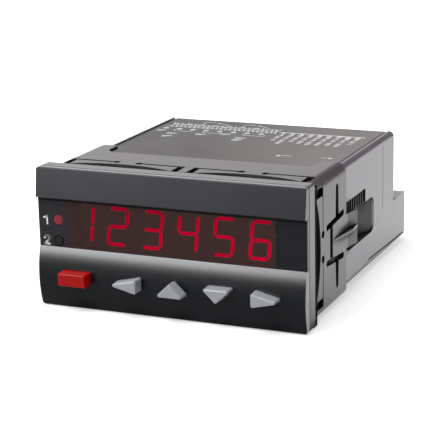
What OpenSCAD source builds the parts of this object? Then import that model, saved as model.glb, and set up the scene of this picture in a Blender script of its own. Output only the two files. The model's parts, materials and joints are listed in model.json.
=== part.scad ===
// Panel-mounted pulse counter with a 96 x 48 mm front.
// X runs to the right, Y from the front to the rear, Z up.
// The origin is the centre of the panel seat, the rear face of the seal.

/* [Front] */
// Width of the bezel and the fascia
front_w = 96; // [84:0.1:110]
// Height of the bezel and the fascia
front_h = 48; // [42:0.1:56]
// Radius of the four corners of the front
front_corner_r = 0.9; // [0.6:0.1:2]
// Depth of the fascia's side, from the window face to the bezel
fascia_d = 1.95; // [1.6:0.05:4]
// Depth of the bezel ring
bezel_d = 5.2; // [4:0.1:8]
// Thickness of the bezel's inner shoulder
bezel_shoulder = 2; // [1:0.1:3]
// How far the bezel stands out past the housing on each side
bezel_lap = 2.5; // [2:0.05:3]
// Width and depth of the seam between the fascia and the bezel
seam = 0.5; // [0.1:0.05:0.5]
// Thickness of the panel seal
gasket_t = 2; // [0.5:0.1:3]
// How far the seal hangs below the bezel's lower edge
gasket_drop = 0.3; // [0:0.05:0.6]
// How far the seal's upper edge lies below the bezel's upper edge
gasket_short = 1; // [0:0.1:1.4]
// How far the brow's lower edge stands before the window face
brow_lip = 1.45; // [0.6:0.05:3]
// How far the brow's upper edge stands before the window face
brow_top = 0.25; // [0:0.05:0.5]
// Small rounding of the brow's edges
brow_edge = 0.35; // [0.1:0.05:0.5]
// How far the key panel's two ends stand before the window face
panel_lip = 0.15; // [0:0.05:0.5]
// Bulge of the key panel between its ends
panel_bulge = 1.7; // [0.5:0.05:3]
// Wall of the key panel at the top of its bulge
panel_wall = 2.3; // [1.6:0.1:2.6]

/* [Window and display] */
// Height of the brow above the window
brow_h = 10.3; // [9:0.1:12]
// Height of the window
window_h = 17; // [15:0.1:18]
// How far the window laps over the display opening at the top and bottom
window_seat = 0.1; // [0.1:0.05:0.5]
// Thickness of the window
window_t = 1.2; // [0.8:0.1:1.4]
// Distance from the front's side edges to the display opening
display_side = 9.6; // [9.4:0.1:12]
// Space past the outer digit modules in the display opening
display_margin = 0.3; // [0.3:0.1:1]
// Height of a digit
digit_h = 13.8; // [10:0.1:15]
// Share of the digit pitch that a digit takes
digit_share = 0.63; // [0.5:0.01:0.7]
// Stroke of a segment
segment_t = 1.5; // [0.8:0.05:2]
// Distance from a segment's tip to the corner of its digit
segment_gap = 0.1; // [0.1:0.05:0.4]
// Slant of the digits in degrees
digit_slant = 6; // [0:1:10]
// Depth of a digit module
module_d = 8.4; // [7:0.1:10]
// Gap between the window and what stands behind it
window_gap = 0.35; // [0.25:0.05:0.6]
// Diameter of a status lamp
lamp_d = 3.5; // [2:0.1:3.6]
// Height of a status lamp's dome
lamp_dome = 0.3; // [0.2:0.1:0.6]
// How far a status lamp stands out of the window
lamp_proud = 0.2; // [0:0.05:0.4]
// Distance from the front's left edge to the status lamps
lamp_side = 7.3; // [5:0.05:7.4]
// Height of the upper status lamp above the middle of the digits
lamp_rise = 0.9; // [0:0.1:2]
// Distance between the status lamps
lamp_pitch = 7.2; // [5:0.1:8]

/* [Keys] */
// Height of the middle of the keys above the front's lower edge
key_rise = 11.15; // [10:0.05:12]
// Distance from the front's left edge to the red key's middle
red_key_side = 14.45; // [11:0.05:16]
// Distance from the front's right edge to the last arrow key's middle
arrow_key_side = 13; // [11:0.1:15]
// Width of the red key
red_key_w = 10.4; // [9:0.1:13]
// Height of the red key
red_key_h = 4.5; // [4:0.1:7]
// Distance between arrow keys as a share of the row of keys
arrow_share = 0.2388; // [0.22:0.0002:0.26]
// Length of an arrow key along its direction when it lies across
arrow_key_w = 8.7; // [8:0.1:11]
// Height of an arrow key
arrow_key_h = 4.7; // [4.5:0.1:7.5]
// How far the keys stand out of the key panel
key_stand = 4.2; // [2:0.1:5]
// Share of a key's outline that is left at its front
key_taper = 0.97; // [0.8:0.01:1]
// Rounding of a key's corners
key_corner_r = 0.6; // [0.4:0.1:0.8]
// Rounding of a key's front edges
key_edge_r = 0.5; // [0.3:0.1:0.6]
// Clearance of a key in the key panel
key_gap = 0.25; // [0.15:0.05:0.4]
// Travel of a key
key_travel = 0.8; // [0.4:0.1:1]
// Rim that holds a key behind the key panel
key_rim = 0.8; // [0.5:0.1:1]
// Diameter of a key's stem and of a switch plunger
plunger_d = 3.4; // [2.5:0.1:4]
// Width of a key switch
switch_w = 6; // [5:0.1:7]
// Height of a key switch above its board
switch_h = 3.4; // [3:0.1:4]
// Length of a switch plunger inside its switch at rest
plunger_hold = 1.1; // [0.8:0.1:1.4]

/* [Housing] */
// Wall of the housing
wall = 1.8; // [1.6:0.1:2]
// Radius of the housing's upper long edges, which round its two rails
housing_corner_r = 2; // [1:0.1:2.2]
// Radius of the housing's lower long edges
base_corner_r = 0.8; // [0.4:0.1:1.2]
// Distance from the panel seat to the upper rear edge
housing_d = 91.4; // [85:0.1:110]
// Depth of the terminal ledge behind the upper rear edge
ledge_d = 14.6; // [10:0.1:18]
// Height of the terminal ledge
ledge_h = 16.7; // [16:0.1:18]
// Width of the two rails along the top edges
rail_w = 2.3; // [2.2:0.1:3]
// Width of the groove beside each rail
rail_groove_w = 0.8; // [0.4:0.1:1.2]
// Depth of the groove beside each rail below the printed area
rail_groove_d = 0.7; // [0.3:0.1:0.9]
// Depth of the printed area between the rails
label_sink = 0.5; // [0.3:0.05:0.7]
// Thickness of the printed label
label_t = 0.2; // [0.1:0.05:0.25]
// Front edge of the sunk area on the top
label_front = 10; // [5:0.5:18]
// Thickness of the rear cover
cover_t = 1.8; // [1.2:0.1:2.5]
// Depth of the shelf that carries the rear cover
shelf_d = 2.9; // [2.6:0.1:4]
// Distance from the upper rear edge to the witness line on the sides
witness_set = 13.4; // [8:0.1:20]
// Width of the witness line
witness_w = 0.3; // [0.2:0.05:0.6]
// Depth of the witness line
witness_d = 0.15; // [0.1:0.05:0.5]
// Distance from the upper rear edge forward to the foot grooves on the sides
foot_set = 30.2; // [24:0.1:36]
// Height of a foot groove's front end above the housing's underside
foot_rise = 1.9; // [1.4:0.05:2.4]
// Height of a foot groove's rear end above the housing's underside
foot_fall = 0.6; // [0.4:0.05:1]
// Width of a foot groove
foot_w = 0.5; // [0.3:0.05:0.7]
// Depth of a foot groove
foot_d = 0.8; // [0.3:0.05:1]

/* [Latch rack] */
// Front end of the rack
rack_front = 12; // [10:0.5:20]
// Distance from the upper rear edge to the rack
rack_set = 33.8; // [28:0.1:40]
// Distance between rack grooves
rack_pitch = 2.4; // [1.6:0.1:2.6]
// Length of a ratchet tooth's flat crest
crest_l = 0.4; // [0.2:0.05:0.8]
// Lower edge of the rack
rack_low = 3; // [2:0.1:4]
// Upper edge of the rack
rack_high = 7.9; // [6:0.1:9]
// Depth of the crests below the side of the housing
rack_crest = 0.4; // [0.2:0.05:0.5]
// Depth of the teeth's roots below the side of the housing
rack_root = 1.4; // [0.8:0.05:1.4]
// Front end of the finger scoop below the rack
scoop_front = 36; // [30:0.5:42]
// Distance from the upper rear edge to the finger scoop
scoop_set = 23.9; // [18:0.1:28]
// Lower edge of the finger scoop
scoop_low = -9.9; // [-11:0.1:-8]
// Depth of the finger scoop
scoop_d = 3; // [1.5:0.1:4]
// Length of the slope at the rear of the finger scoop
scoop_slope = 9.6; // [6:0.1:14]
// Radius of the finger scoop's corners
scoop_r = 3.5; // [1:0.1:4]
// Wall behind the finger scoop, inside the housing
scoop_wall = 1.2; // [0.8:0.1:1.6]

/* [Clamp frame] */
// Clearance between the clamp frame and the housing
frame_gap = 0.3; // [0.2:0.05:0.5]
// Wall of the clamp frame
frame_wall = 1.2; // [1:0.1:1.5]
// Radius of the clamp frame's upper long edges
frame_corner_r = 3.8; // [3:0.1:4.2]
// Radius of the clamp frame's lower long edges
frame_base_r = 2.2; // [1.5:0.1:2.6]
// Distance from the panel seat to the tips of the spring bows
frame_tip = 2.3; // [0.5:0.1:4]
// Depth of the clamp frame
frame_d = 29.7; // [29.6:0.1:34]
// How far the middle of a spring bow lies behind its tips
bow_sag = 4; // [3:0.1:4.4]
// Distance from the bow tips to the slits behind the bows
slit_set = 6; // [5.8:0.1:7]
// Width of the slits behind the side bows
side_slit_w = 0.6; // [0.4:0.05:1]
// Width of the slits behind the top bows
top_slit_w = 1.3; // [0.5:0.05:1.6]
// Distance from the tip of a side bow to the inside of the frame's top
side_bow_space = 4.6; // [4:0.1:6]
// Half the distance between the bows on the top
top_bow_space = 4; // [3:0.1:6]
// Gap past the tip of a side bow
side_tip_gap = 3; // [1.5:0.1:3.2]
// Gap past the tip of a top bow
top_tip_gap = 2.4; // [1:0.1:2.6]
// Half width of the web that carries a bow
bow_root = 4.2; // [3:0.1:5]
// Radius of the hole that ends a slit at the web
slit_end_r = 1.3; // [0.7:0.05:1.4]
// Distance from the bow tips to the rear notch in the top and bottom
notch_set = 20.2; // [17:0.1:22]
// Distance from the rear notch to the inside of the frame's sides
notch_side = 7.4; // [5:0.1:10]
// Radius of the rear notch's inner corners
notch_r = 4; // [2:0.1:6]

/* [Latch tongue] */
// Height of the tongue's middle
tongue_z = -0.8; // [-1.2:0.1:0]
// Distance from the bow tips to the slot before the tongue
tongue_set = 13.3; // [13:0.1:14]
// Width of the slot before the tongue
tongue_slot = 2.7; // [1.5:0.1:3]
// Half height of the tongue at its free edge
tongue_half_h = 5; // [4:0.1:6]
// Length of the slots above and below the tongue
tongue_l = 15.6; // [14:0.1:16]
// Height of the slots above and below the tongue
tongue_gap = 2.1; // [1:0.1:2.2]
// How much higher these slots lie at their rear ends
tongue_flare = 1.4; // [0:0.1:2]
// Distance from the bow tips to the upright relief slots
relief_set = 20.3; // [20:0.1:21]
// Distance from the relief slots to the inside of the frame's top
relief_space = 5; // [3:0.1:6]
// Width of the relief slots at the tongue
relief_w = 3.4; // [2:0.1:3.6]
// Width of the relief slots at their ends
relief_end_w = 2.3; // [1:0.1:2.4]
// How far the release tail reaches behind the frame
tail_l = 8.4; // [7:0.1:11]
// Length of the release tail before it flares out
tail_flat = 2; // [1:0.1:3]
// How far the release tail flares out
tail_flare = 1.2; // [0.6:0.1:1.6]
// Height of the release tail below the tongue's middle
tail_down = 6.2; // [5:0.1:6.4]
// Height of the release tail above the tongue's middle
tail_up = 5.7; // [4:0.1:6.4]
// Thickness of the release fin
fin_t = 1; // [0.6:0.1:1.5]
// How far the release fin stands out
fin_out = 1.9; // [1.6:0.1:2.4]
// How far the latch nib stands in from the tongue
nib_in = 0.2; // [0.1:0.05:0.2]
// Distance from the tongue's free edge to the foot of the latch nib's ramp
nib_step = 0.5; // [0.3:0.05:0.6]
// Distance from the tongue's free edge to the latch nib's steep face
nib_l = 2.2; // [1.6:0.1:2.6]

/* [Boards] */
// Thickness of the boards
board_t = 1.6; // [1:0.1:2]
// Clearance round the boards
board_gap = 0.4; // [0.2:0.05:0.6]
// Height of the main board's top above the housing's underside
main_board_rise = 5.3; // [5:0.1:5.5]
// Distance between the two boards
board_space = 1.6; // [1:0.1:3]
// Width of the rails that carry the main board
board_rail_w = 1.6; // [1:0.1:2.5]
// Width of the posts that carry the display board
post_w = 2.6; // [2:0.1:2.8]
// Space between the pin headers and the parts before them
part_space = 6; // [2:0.5:10]
// Place of the first relay as a share of the main board's width
relay_place = -0.37; // [-0.4:0.01:-0.36]
// Distance between the relays as a share of the main board's width
relay_step = 0.15; // [0.14:0.01:0.16]
// Place of the transformer as a share of the main board's width
transformer_place = 0.0925; // [0.05:0.0025:0.12]
// Place of the smoothing capacitor as a share of the main board's width
capacitor_place = 0.335; // [0.32:0.005:0.36]
// Place of the processor as a share of the main board's width
processor_place = -0.06; // [-0.1:0.01:0]
// Width of a relay
relay_w = 10.2; // [8:0.1:12]
// Length of a relay
relay_l = 20; // [15:0.5:22]
// Height of a relay
relay_h = 15.5; // [10:0.5:18]
// Width of the transformer
transformer_w = 20; // [15:0.5:22]
// Length of the transformer
transformer_l = 22; // [15:0.5:24]
// Height of the transformer
transformer_h = 17; // [12:0.5:20]
// Width of the transformer's core
core_w = 4; // [3:0.1:5]
// Height of the transformer's foot
transformer_foot = 4; // [3:0.1:5]
// Diameter of the smoothing capacitor
capacitor_d = 12.5; // [8:0.5:14]
// Height of the smoothing capacitor
capacitor_h = 20; // [12:0.5:24]
// Depth of the smoothing capacitor's crimp
crimp = 0.6; // [0.3:0.05:1]
// Width of the processor
processor_w = 12; // [7:0.5:16]
// Length of the link between the boards
link_w = 30; // [20:0.5:40]

/* [Terminals] */
// Share of the housing's inner width that the supply and relay plug may take
supply_share = 0.48; // [0.4:0.01:0.5]
// Distance between the ways of the supply and relay plug
supply_pitch = 5.08; // [5:0.04:5.08]
// Share of the housing's inner width that the signal plug may take
signal_share = 0.4; // [0.3:0.01:0.42]
// Distance between the ways of the signal plug
signal_pitch = 3.81; // [3.5:0.01:3.81]
// Height of a plug
plug_h = 11.7; // [11:0.1:11.9]
// Height of the middle of the plugs above the housing's underside
plug_rise = 8.45; // [8.3:0.05:8.6]
// End wall of a plug past its outer ways
plug_end = 0.6; // [0.4:0.1:1]
// How far a plug stands out of the ledge
plug_proud = 0.4; // [0:0.1:2]
// Clearance of a plug in the ledge
plug_gap = 0.3; // [0.2:0.05:0.35]
// Wall between the two plugs
bay_web = 1.6; // [1:0.1:3]
// Depth of a pin header
header_d = 12; // [10:0.1:14]
// Height of a pin header
header_h = 8.8; // [8:0.1:9]
// Wall of a pin header
header_wall = 1; // [0.8:0.1:1.2]
// Width of a header pin
pin_w = 1; // [0.6:0.1:1]
// How far a header pin ends before the header's rear
pin_short = 1.5; // [1:0.1:3]
// Share of a way's pitch that its wire entry takes
entry_share = 0.62; // [0.5:0.01:0.7]
// Share of a way's pitch that its screw head takes
screw_share = 0.64; // [0.5:0.01:0.68]
// Height of the wire entries
entry_h = 3.9; // [3:0.1:4.2]
// How far the wire entries lie below the plug's middle
entry_drop = 2.3; // [2:0.1:3]
// How far the screws lie above the plug's middle
screw_rise = 2.9; // [2.5:0.1:3.2]
// Depth of the wire entries
entry_d = 8; // [5:0.5:10]
// How deep the screw heads lie below the plug's face
screw_sink = 1; // [0.4:0.1:2]

/* [Hidden] */
$fn = 48;
over = 1;
corner_steps = 6;
edge_steps = 5;
digit_count = 6;
key_names = ["red_key", "left_key", "up_key", "down_key", "right_key"];
key_count = len(key_names);

// Planes along Y
bezel_rear_y = -gasket_t;
bezel_front_y = bezel_rear_y - bezel_d;
window_y = bezel_front_y - fascia_d;
window_rear_y = window_y + window_t;
module_front_y = window_rear_y + window_gap;
board_front_y = module_front_y + module_d;
board_rear_y = board_front_y + board_t;
housing_front_y = bezel_front_y + bezel_shoulder;
panel_front_y = window_y - panel_lip - panel_bulge;
panel_inner_y = panel_front_y + panel_wall;
key_front_y = panel_front_y - key_stand;
ledge_rear_y = housing_d + ledge_d;
ledge_front_y = housing_d - shelf_d;
main_front_y = board_rear_y + board_space;
main_rear_y = ledge_front_y - board_gap;
frame_rear_y = frame_tip + frame_d;
plug_rear_y = ledge_rear_y + plug_proud;
plug_front_y = main_rear_y + plug_gap;

// Sections
housing_w = front_w - 2 * bezel_lap;
housing_h = front_h - 2 * bezel_lap;
inner_w = housing_w - 2 * wall;
inner_h = housing_h - 2 * wall;
inner_r = 0.6;
frame_in_w = housing_w + 2 * frame_gap;
frame_in_h = housing_h + 2 * frame_gap;
frame_out_w = frame_in_w + 2 * frame_wall;
frame_out_h = frame_in_h + 2 * frame_wall;
slit_y = frame_tip + slit_set;
board_w = inner_w - 2 * board_gap;
board_h = inner_h - 2 * board_gap;
fit_gap = 0.2;

// Heights of the front
window_top = front_h / 2 - brow_h;
window_bottom = window_top - window_h;
digit_z = window_top - window_h / 2;
lamp_z = digit_z + lamp_rise;
key_z = key_rise - front_h / 2;

// Display
module_gap = 0.2;
module_space = 0.1;
segment_proud = 0.12;
display_w = front_w - 2 * display_side;
digit_pitch = (display_w - 2 * display_margin) / digit_count;
digit_w = digit_share * digit_pitch;
module_w = digit_pitch - module_space;
module_h = window_h - 2 * (window_seat + module_gap);
lamp_x = lamp_side - front_w / 2;
lamp_l = board_front_y - window_y + lamp_proud;

// Keys
red_key_x = red_key_side - front_w / 2;
last_key_x = front_w / 2 - arrow_key_side;
arrow_pitch = arrow_share * (last_key_x - red_key_x);
key_x = [red_key_x, for (i = [3:-1:0]) last_key_x - i * arrow_pitch];
rim_low_z = key_z - arrow_key_h / 2 - key_rim - board_gap;
rim_t = 0.9;
rim_front_y = panel_inner_y + fit_gap / 2;
rim_rear_y = rim_front_y + rim_t;
switch_front_y = board_front_y - switch_h;
plunger_front_y = switch_front_y - 2 * key_travel;
plunger_rear_y = switch_front_y + plunger_hold;
switch_bore_d = plunger_hold + key_travel + fit_gap;

// Rack, bows and slots
ledge_top = ledge_h - housing_h / 2;
witness_y = housing_d - witness_set;
scoop_rear = housing_d - scoop_set;
foot_front = housing_d - foot_set;
rack_teeth = round((housing_d - rack_set - rack_front) / rack_pitch);
rack_rear = rack_front + rack_teeth * rack_pitch;
side_bow = frame_in_h / 2 - side_bow_space;
top_bow_x = frame_in_w / 4;
top_bow = top_bow_x - top_bow_space;
notch_half_w = frame_in_w / 2 - notch_side;
relief_top = frame_in_h / 2 - relief_space;

// Terminal plugs
supply_ways = floor(supply_share * inner_w / supply_pitch);
signal_ways = floor(signal_share * inner_w / signal_pitch);
main_board_z = main_board_rise - housing_h / 2;
plug_z = plug_rise - housing_h / 2;
supply_w = plug_width(supply_ways, supply_pitch);
signal_w = plug_width(signal_ways, signal_pitch);
bays_w = supply_w + signal_w + bay_web + 4 * plug_gap;
supply_x = -bays_w / 2 + plug_gap + supply_w / 2;
signal_x = bays_w / 2 - plug_gap - signal_w / 2;
header_front_y = main_rear_y - header_d;
header_z = main_board_z + header_h / 2;
pin_front_y = header_front_y + header_wall;
pin_rear_y = main_rear_y - pin_short;
entry_z = plug_z - entry_drop;
screw_z = plug_z + screw_rise;
screw_l = 6;
screw_gap = 0.15;
driver_depth_share = 0.25;
driver_width_share = 0.17;

// Places of the boards' parts
parts_rear_y = header_front_y - part_space;
relay_x = [relay_place * board_w, (relay_place + relay_step) * board_w];
relay_y = parts_rear_y - relay_l;
transformer_x = transformer_place * board_w;
transformer_y = parts_rear_y - transformer_l;
capacitor_x = capacitor_place * board_w;
capacitor_y = parts_rear_y - capacitor_d / 2;
processor_set = 22;
processor_x = processor_place * board_w;
processor_y = main_front_y + processor_set;
processor_t = 1.5;
link_d = 6.5;
link_h = 5;

function plug_width(ways, pitch) = ways * pitch + 2 * plug_end;
function way_x(i, ways, pitch) = (i - (ways - 1) / 2) * pitch;
function digit_x(i) = (i - (digit_count - 1) / 2) * digit_pitch;
function middle(points) = [for (p = points) 1] * points / len(points);
function toward(points, share) = [for (p = points) middle(points) + share * (p - middle(points))];
function heading(v) = atan2(v.y, v.x);

// Outline that stands r outside a convex polygon, given counter-clockwise
function rounded(points, r) = let (n = len(points))
    [for (i = [0:n - 1])
        let (
            before = heading(points[i] - points[(i + n - 1) % n]),
            turn = (heading(points[(i + 1) % n] - points[i]) - before + 720) % 360
        )
        for (j = [0:corner_steps])
            points[i] + r * [sin(before + turn * j / corner_steps), -cos(before + turn * j / corner_steps)]];
function ring_at(outline, y) = [for (p = outline) [p.x, y, p.y]];

// Extrusion along Y of an outline in X and Z
module along_y(y0, y1) {
    translate([0, y1, 0])
        rotate([90, 0, 0])
            linear_extrude(y1 - y0)
                children();
}

// Extrusion along X of an outline in Y and Z
module along_x(x0, x1) {
    translate([x0, 0, 0])
        rotate([90, 0, 90])
            linear_extrude(x1 - x0)
                children();
}

// Extrusion along Z of an outline in X and Y
module along_z(z0, z1) {
    translate([0, 0, z0])
        linear_extrude(z1 - z0)
            children();
}

// Box between two corners
module box(low, high) {
    translate(low)
        cube(high - low);
}

// Outline of a box between two corners
module patch(low, high) {
    translate(low)
        square(high - low);
}

module rounded_rect(w, h, r) {
    square([w - 2 * r, h], center = true);
    square([w, h - 2 * r], center = true);
    for (sx = [-1, 1], sy = [-1, 1])
        translate([sx * (w / 2 - r), sy * (h / 2 - r)])
            circle(r);
}

// Upright section with one radius for its upper and one for its lower corners
module tube_section(w, h, top_r, base_r) {
    translate([0, (base_r - top_r) / 2])
        square([w, h - top_r - base_r], center = true);
    for (corner = [[1, top_r], [-1, base_r]]) {
        level = corner[0];
        r = corner[1];
        translate([0, level * h / 4])
            square([w - 2 * r, h / 2], center = true);
        for (side = [-1, 1])
            translate([side * (w / 2 - r), level * (h / 2 - r)])
                circle(r);
    }
}

// The housing's section, or what stands off it by a gap
module housing_section(gap) {
    tube_section(housing_w + 2 * gap, housing_h + 2 * gap, housing_corner_r + gap, base_corner_r + gap);
}

module rounded_patch(low, high, r) {
    translate((low + high) / 2)
        rounded_rect(high.x - low.x, high.y - low.y, r);
}

// Solid through a row of rings along Y, from the rear to the front
module loft(rings) {
    n = len(rings[0]);
    last = len(rings) - 1;
    sides = [for (i = [0:last - 1], j = [0:n - 1])
        [i * n + j, (i + 1) * n + j, (i + 1) * n + (j + 1) % n, i * n + (j + 1) % n]];
    rear = [for (j = [0:n - 1]) j];
    front = [for (j = [0:n - 1]) last * n + n - 1 - j];
    polyhedron([for (ring = rings) each ring], concat([rear], sides, [front]));
}

module both_sides() {
    children();
    mirror([1, 0, 0])
        children();
}

module top_and_bottom() {
    children();
    mirror([0, 0, 1])
        children();
}

// Housing: tube, terminal ledge, rails, racks and finger scoops in one moulding
module housing() {
    color("gray")
        union() {
            difference() {
                union() {
                    difference() {
                        housing_outside();
                        housing_inside();
                    }
                    both_sides()
                        scoop_back();
                }
                along_z(housing_h / 2 - label_sink, housing_h / 2 + over)
                    patch([-housing_w / 2 + rail_w, label_front], [housing_w / 2 - rail_w, housing_d + over]);
                both_sides() {
                    along_z(housing_h / 2 - label_sink - rail_groove_d, housing_h / 2 + over)
                        patch([housing_w / 2 - rail_w - rail_groove_w, label_front],
                            [housing_w / 2 - rail_w, housing_d + over]);
                    side_recesses();
                }
                bay(supply_x, supply_w);
                bay(signal_x, signal_w);
            }
            both_sides()
                box([inner_w / 2 - board_rail_w, main_front_y, -inner_h / 2 - wall / 2],
                    [inner_w / 2 + wall / 2, ledge_front_y + over, main_board_z - board_t]);
        }
}

module housing_outside() {
    along_y(housing_front_y, housing_d)
        housing_section(0);
    along_y(ledge_front_y, ledge_rear_y)
        intersection() {
            housing_section(0);
            patch([-housing_w, -housing_h], [housing_w, ledge_top]);
        }
}

module housing_inside() {
    along_y(housing_front_y - over, ledge_front_y)
        rounded_rect(inner_w, inner_h, inner_r);
    along_y(ledge_front_y - over, housing_d + over)
        intersection() {
            rounded_rect(inner_w, inner_h, inner_r);
            patch([-inner_w, ledge_top], [inner_w, inner_h]);
        }
}

module bay(x, w) {
    along_y(ledge_front_y - over, ledge_rear_y + over)
        translate([x, plug_z])
            square([w + 2 * plug_gap, plug_h + 2 * plug_gap], center = true);
}

// Wall behind the right-hand finger scoop
module scoop_back() {
    side = housing_w / 2;
    along_z(scoop_low - scoop_wall, rack_low + scoop_wall)
        polygon([[side - wall / 2, scoop_front - scoop_wall],
            [side - wall / 2, scoop_rear],
            [side - wall - scoop_wall, scoop_rear],
            [side - scoop_d - scoop_wall, scoop_rear - scoop_slope],
            [side - scoop_d - scoop_wall, scoop_front - scoop_wall]]);
}

// Recesses in the right-hand side: finger scoop, ratchet rack and fine grooves
module side_recesses() {
    side = housing_w / 2;
    foot = -housing_h / 2;
    intersection() {
        along_x(side - scoop_d, side + over)
            rounded_patch([scoop_front, scoop_low], [scoop_rear, rack_low], scoop_r);
        along_z(scoop_low - over, rack_low + over)
            polygon([[side + over, scoop_front], [side + over, scoop_rear], [side, scoop_rear],
                [side - scoop_d, scoop_rear - scoop_slope], [side - scoop_d, scoop_front]]);
    }
    along_x(side - rack_crest, side + over)
        patch([rack_front, rack_low], [rack_rear, rack_high]);
    for (i = [0:rack_teeth - 1])
        along_z(rack_low, rack_high)
            translate([side - rack_crest, rack_front + i * rack_pitch])
                polygon([[over / 2, crest_l], [0, crest_l],
                    [rack_crest - rack_root, rack_pitch], [over / 2, rack_pitch]]);
    along_x(side - witness_d, side + over)
        patch([witness_y, ledge_top], [witness_y + witness_w, housing_h / 2 - rail_w]);
    along_x(side - foot_d, side + over)
        polygon([[foot_front, foot + foot_rise], [ledge_rear_y + over, foot + foot_fall],
            [ledge_rear_y + over, foot + foot_fall + foot_w], [foot_front, foot + foot_rise + foot_w]]);
}

// Plate in the upper rear opening, with a raised rim
module rear_cover() {
    rim = 2;
    rim_step = 0.6;
    high = inner_h / 2 - fit_gap;
    color("dimgray")
        difference() {
            along_y(housing_d - cover_t, housing_d)
                patch([-inner_w / 2 + fit_gap, ledge_top], [inner_w / 2 - fit_gap, high]);
            along_y(housing_d - rim_step, housing_d + over)
                rounded_patch([-inner_w / 2 + fit_gap + rim, ledge_top + rim],
                    [inner_w / 2 - fit_gap - rim, high - rim], rim);
        }
}

module top_label() {
    edge = 0.15;
    half_w = housing_w / 2 - rail_w - rail_groove_w - edge;
    bottom = housing_h / 2 - label_sink;
    color("dimgray")
        along_z(bottom, bottom + label_t)
            patch([-half_w, label_front + edge], [half_w, housing_d - edge]);
}

// Ring with an inner shoulder for the housing and a seam at its front edge
module front_bezel() {
    color("gray")
        difference() {
            union() {
                along_y(bezel_front_y, bezel_rear_y)
                    rounded_rect(front_w - 2 * seam, front_h - 2 * seam, front_corner_r);
                along_y(bezel_front_y + seam, bezel_rear_y)
                    rounded_rect(front_w, front_h, front_corner_r);
            }
            along_y(bezel_front_y - over, bezel_rear_y + over)
                rounded_rect(inner_w, inner_h, inner_r);
            along_y(housing_front_y, bezel_rear_y + over)
                housing_section(fit_gap);
        }
}

module panel_gasket() {
    color("black")
        along_y(bezel_rear_y, 0)
            difference() {
                rounded_patch([-front_w / 2, -front_h / 2 - gasket_drop],
                    [front_w / 2, front_h / 2 - gasket_short], front_corner_r);
                housing_section(fit_gap);
            }
}

// Side outline of the brow in Y and Z
module brow_outline() {
    top_y = window_y - brow_top;
    lip_y = window_y - brow_lip;
    high = front_h / 2;
    polygon([
        [bezel_front_y, window_bottom - over],
        [bezel_front_y, high],
        [top_y + brow_edge, high],
        [top_y, high - brow_edge],
        [lip_y, window_top + brow_edge],
        [lip_y + brow_edge, window_top],
        [window_rear_y, window_top],
        [window_rear_y, window_bottom - over]
    ]);
}

// Side outline of the bulged key panel in Y and Z
module panel_outline() {
    end_y = window_y - panel_lip;
    low = -front_h / 2;
    half = (window_bottom - low) / 2;
    bulge_r = (half * half + panel_bulge * panel_bulge) / (2 * panel_bulge);
    intersection() {
        translate([end_y - panel_bulge + bulge_r, low + half])
            circle(bulge_r, $fn = 180);
        patch([end_y - panel_bulge - over, low], [bezel_front_y, window_bottom]);
    }
}

// Front moulding with the brow, the bulged key panel and the posts of the display board
module fascia() {
    color([0.12, 0.12, 0.13])
        union() {
            difference() {
                intersection() {
                    along_x(-front_w / 2, front_w / 2) {
                        brow_outline();
                        panel_outline();
                    }
                    along_y(key_front_y, bezel_front_y + over)
                        rounded_rect(front_w, front_h, front_corner_r);
                }
                along_y(window_y - over, bezel_front_y + over)
                    translate([0, digit_z])
                        square([display_w, module_h + 2 * module_gap], center = true);
                along_y(window_y - over, bezel_front_y + over)
                    lamp_holes();
                along_y(panel_inner_y, bezel_front_y + over)
                    patch([-inner_w / 2 + wall, rim_low_z], [inner_w / 2 - wall, window_bottom - wall]);
                for (k = [0:key_count - 1])
                    along_y(key_front_y - over, bezel_front_y + over)
                        translate([key_x[k], key_z])
                            polygon(rounded(key_corners(k), key_corner_r + key_gap));
            }
            top_and_bottom()
                fascia_tongue();
            for (x = [(key_x[0] + key_x[1]) / 2, (key_x[3] + key_x[4]) / 2], z = [key_z, post_top_z()])
                along_y(z > 0 ? window_rear_y : panel_inner_y - fit_gap, board_front_y)
                    translate([x, z])
                        square(post_w, center = true);
        }
}

function post_top_z() = (window_top + inner_h / 2 - wall) / 2;

// Tongue that locates the fascia in the bezel
module fascia_tongue() {
    high = inner_h / 2 - fit_gap;
    along_y(bezel_front_y - window_gap, housing_front_y)
        patch([-display_w / 2, high - fit_gap - wall / 2], [display_w / 2, high]);
}

module display_window() {
    edge = 0.1;
    color([0.16, 0.05, 0.06])
        along_y(window_y, window_rear_y)
            difference() {
                patch([-front_w / 2, window_bottom + edge], [front_w / 2, window_top - edge]);
                lamp_holes();
            }
}

// Holes for the two status lamps, as an outline in X and Z
module lamp_holes() {
    for (i = [0, 1])
        translate([lamp_x, lamp_z - i * lamp_pitch])
            circle(lamp_d / 2 + fit_gap);
}

// Corners of a key's outline, less its corner radius, about the key's middle
function key_corners(k) =
    k == 0 ? box_corners(red_key_w / 2 - key_corner_r, red_key_h / 2 - key_corner_r)
    : arrow_corners(k, arrow_key_w / 2 - key_corner_r, arrow_key_h / 2 - key_corner_r);
function box_corners(w, h) = [[-w, -h], [w, -h], [w, h], [-w, h]];
function arrow_corners(k, w, h) =
    k == 1 ? [[-w, 0], [w, -h], [w, h]]
    : k == 2 ? [[-w, -h], [w, -h], [0, h]]
    : k == 3 ? [[-w, h], [0, -h], [w, h]]
    : [[-w, -h], [w, 0], [-w, h]];

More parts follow.
